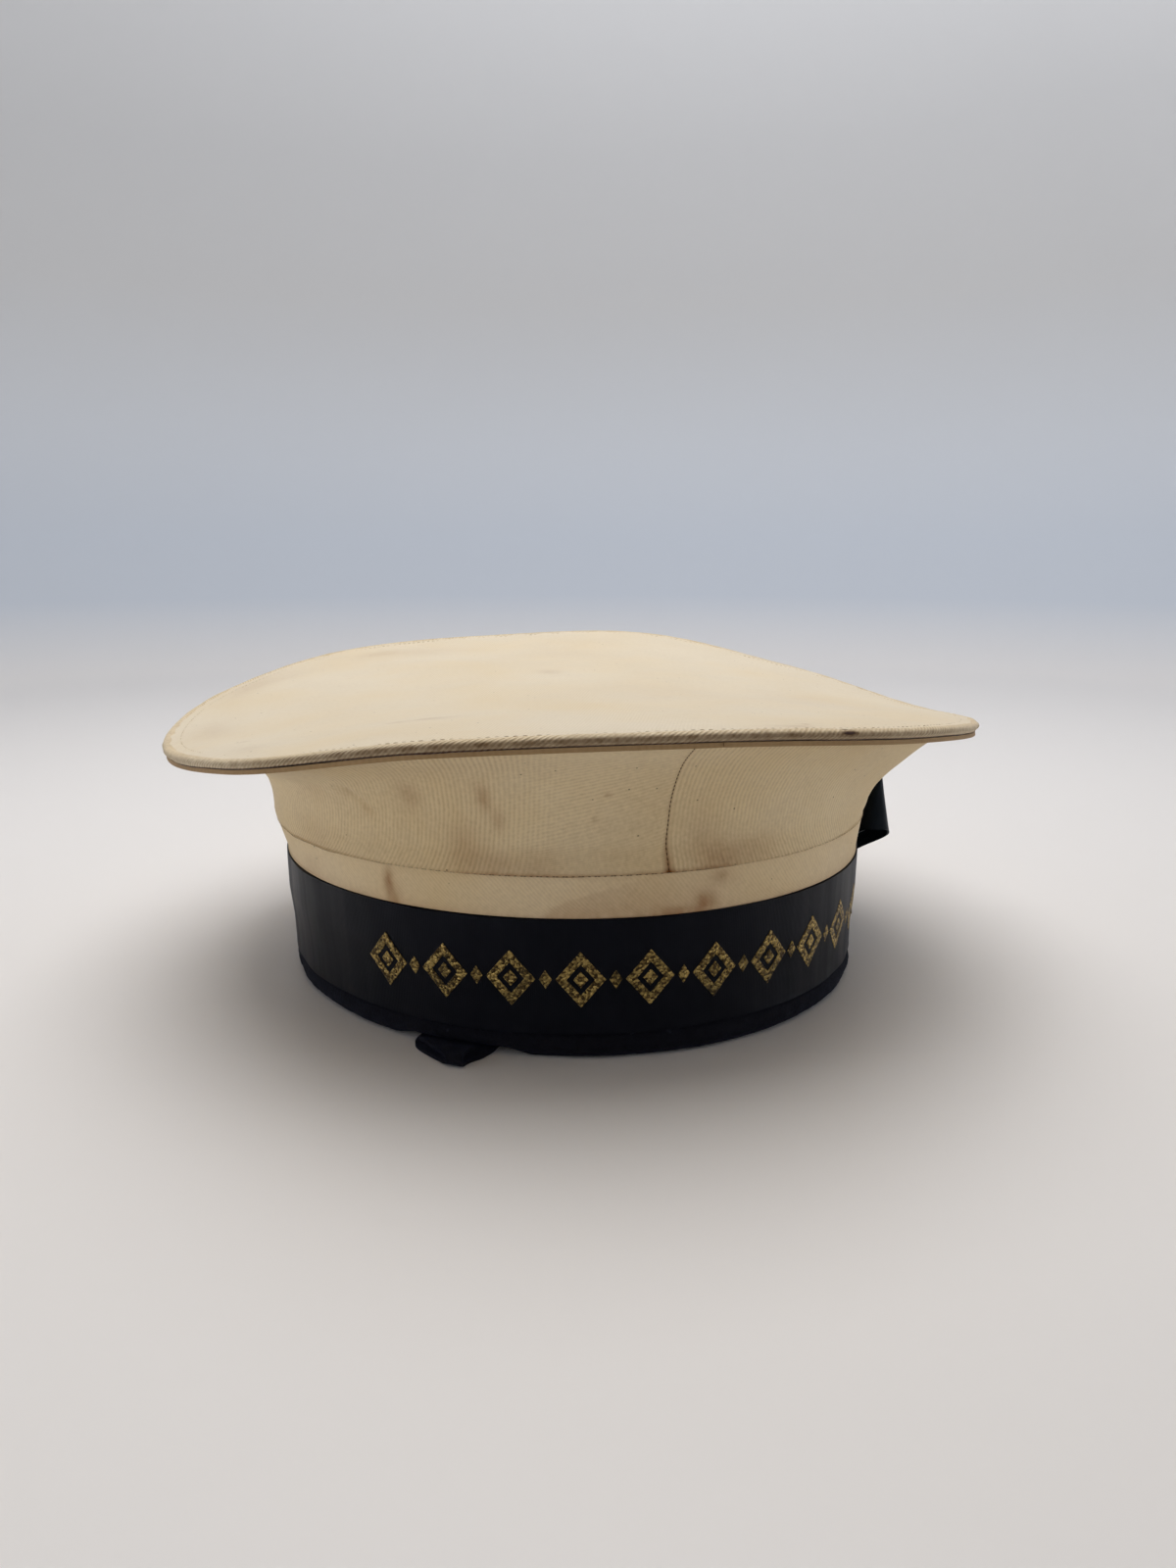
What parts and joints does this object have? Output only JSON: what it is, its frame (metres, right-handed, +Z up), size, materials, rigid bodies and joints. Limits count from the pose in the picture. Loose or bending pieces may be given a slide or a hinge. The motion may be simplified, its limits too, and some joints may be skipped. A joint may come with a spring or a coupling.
{
  "type": "sailor's round cap",
  "caption": "Sailor's round cap with a flat white cloth crown flaring over a navy band, a silk ribbon tied in a bow at the wearer's left, and an open hollow for the head.",
  "frame": {"origin": "on the floor that the cap stands on, under the middle of the crown", "axes": "+Z up, -Y to the cap's front, +X to the wearer's left, where the bow is"},
  "size_m": [0.2612, 0.2644, 0.0974],
  "materials": {
    "crown_top": "off-white cotton cloth, stretched flat, lightly soiled",
    "crown_welt": "off-white twill, rolled and stitched",
    "quarter_front_left": "off-white cotton twill",
    "quarter_front_right": "off-white cotton twill",
    "quarter_rear_left": "off-white cotton twill",
    "quarter_rear_right": "off-white cotton twill",
    "white_strip": "off-white cotton cloth with grime along its lower edge",
    "navy_band": "navy wool cloth over a stiff band",
    "band_ribbon": "navy silk ribbon with a woven gold ornament",
    "bow_knot": "navy silk ribbon",
    "bow_loop_front": "navy silk ribbon",
    "bow_loop_rear": "navy silk ribbon",
    "bow_tail_front": "navy silk ribbon",
    "bow_tail_rear": "navy silk ribbon",
    "chin_stay_tab": "navy cotton tape, folded"
  },
  "bodies": {
    "root": {"crown_top": "crown_top", "crown_welt": "crown_welt", "quarter_front_left": "quarter_front_left", "quarter_front_right": "quarter_front_right", "quarter_rear_left": "quarter_rear_left", "quarter_rear_right": "quarter_rear_right", "white_strip": "white_strip", "navy_band": "navy_band", "band_ribbon": "band_ribbon", "bow_knot": "bow_knot", "bow_loop_front": "bow_loop_front", "bow_loop_rear": "bow_loop_rear", "bow_tail_front": "bow_tail_front", "bow_tail_rear": "bow_tail_rear", "chin_stay_tab": "chin_stay_tab"}
  },
  "joints": []
}
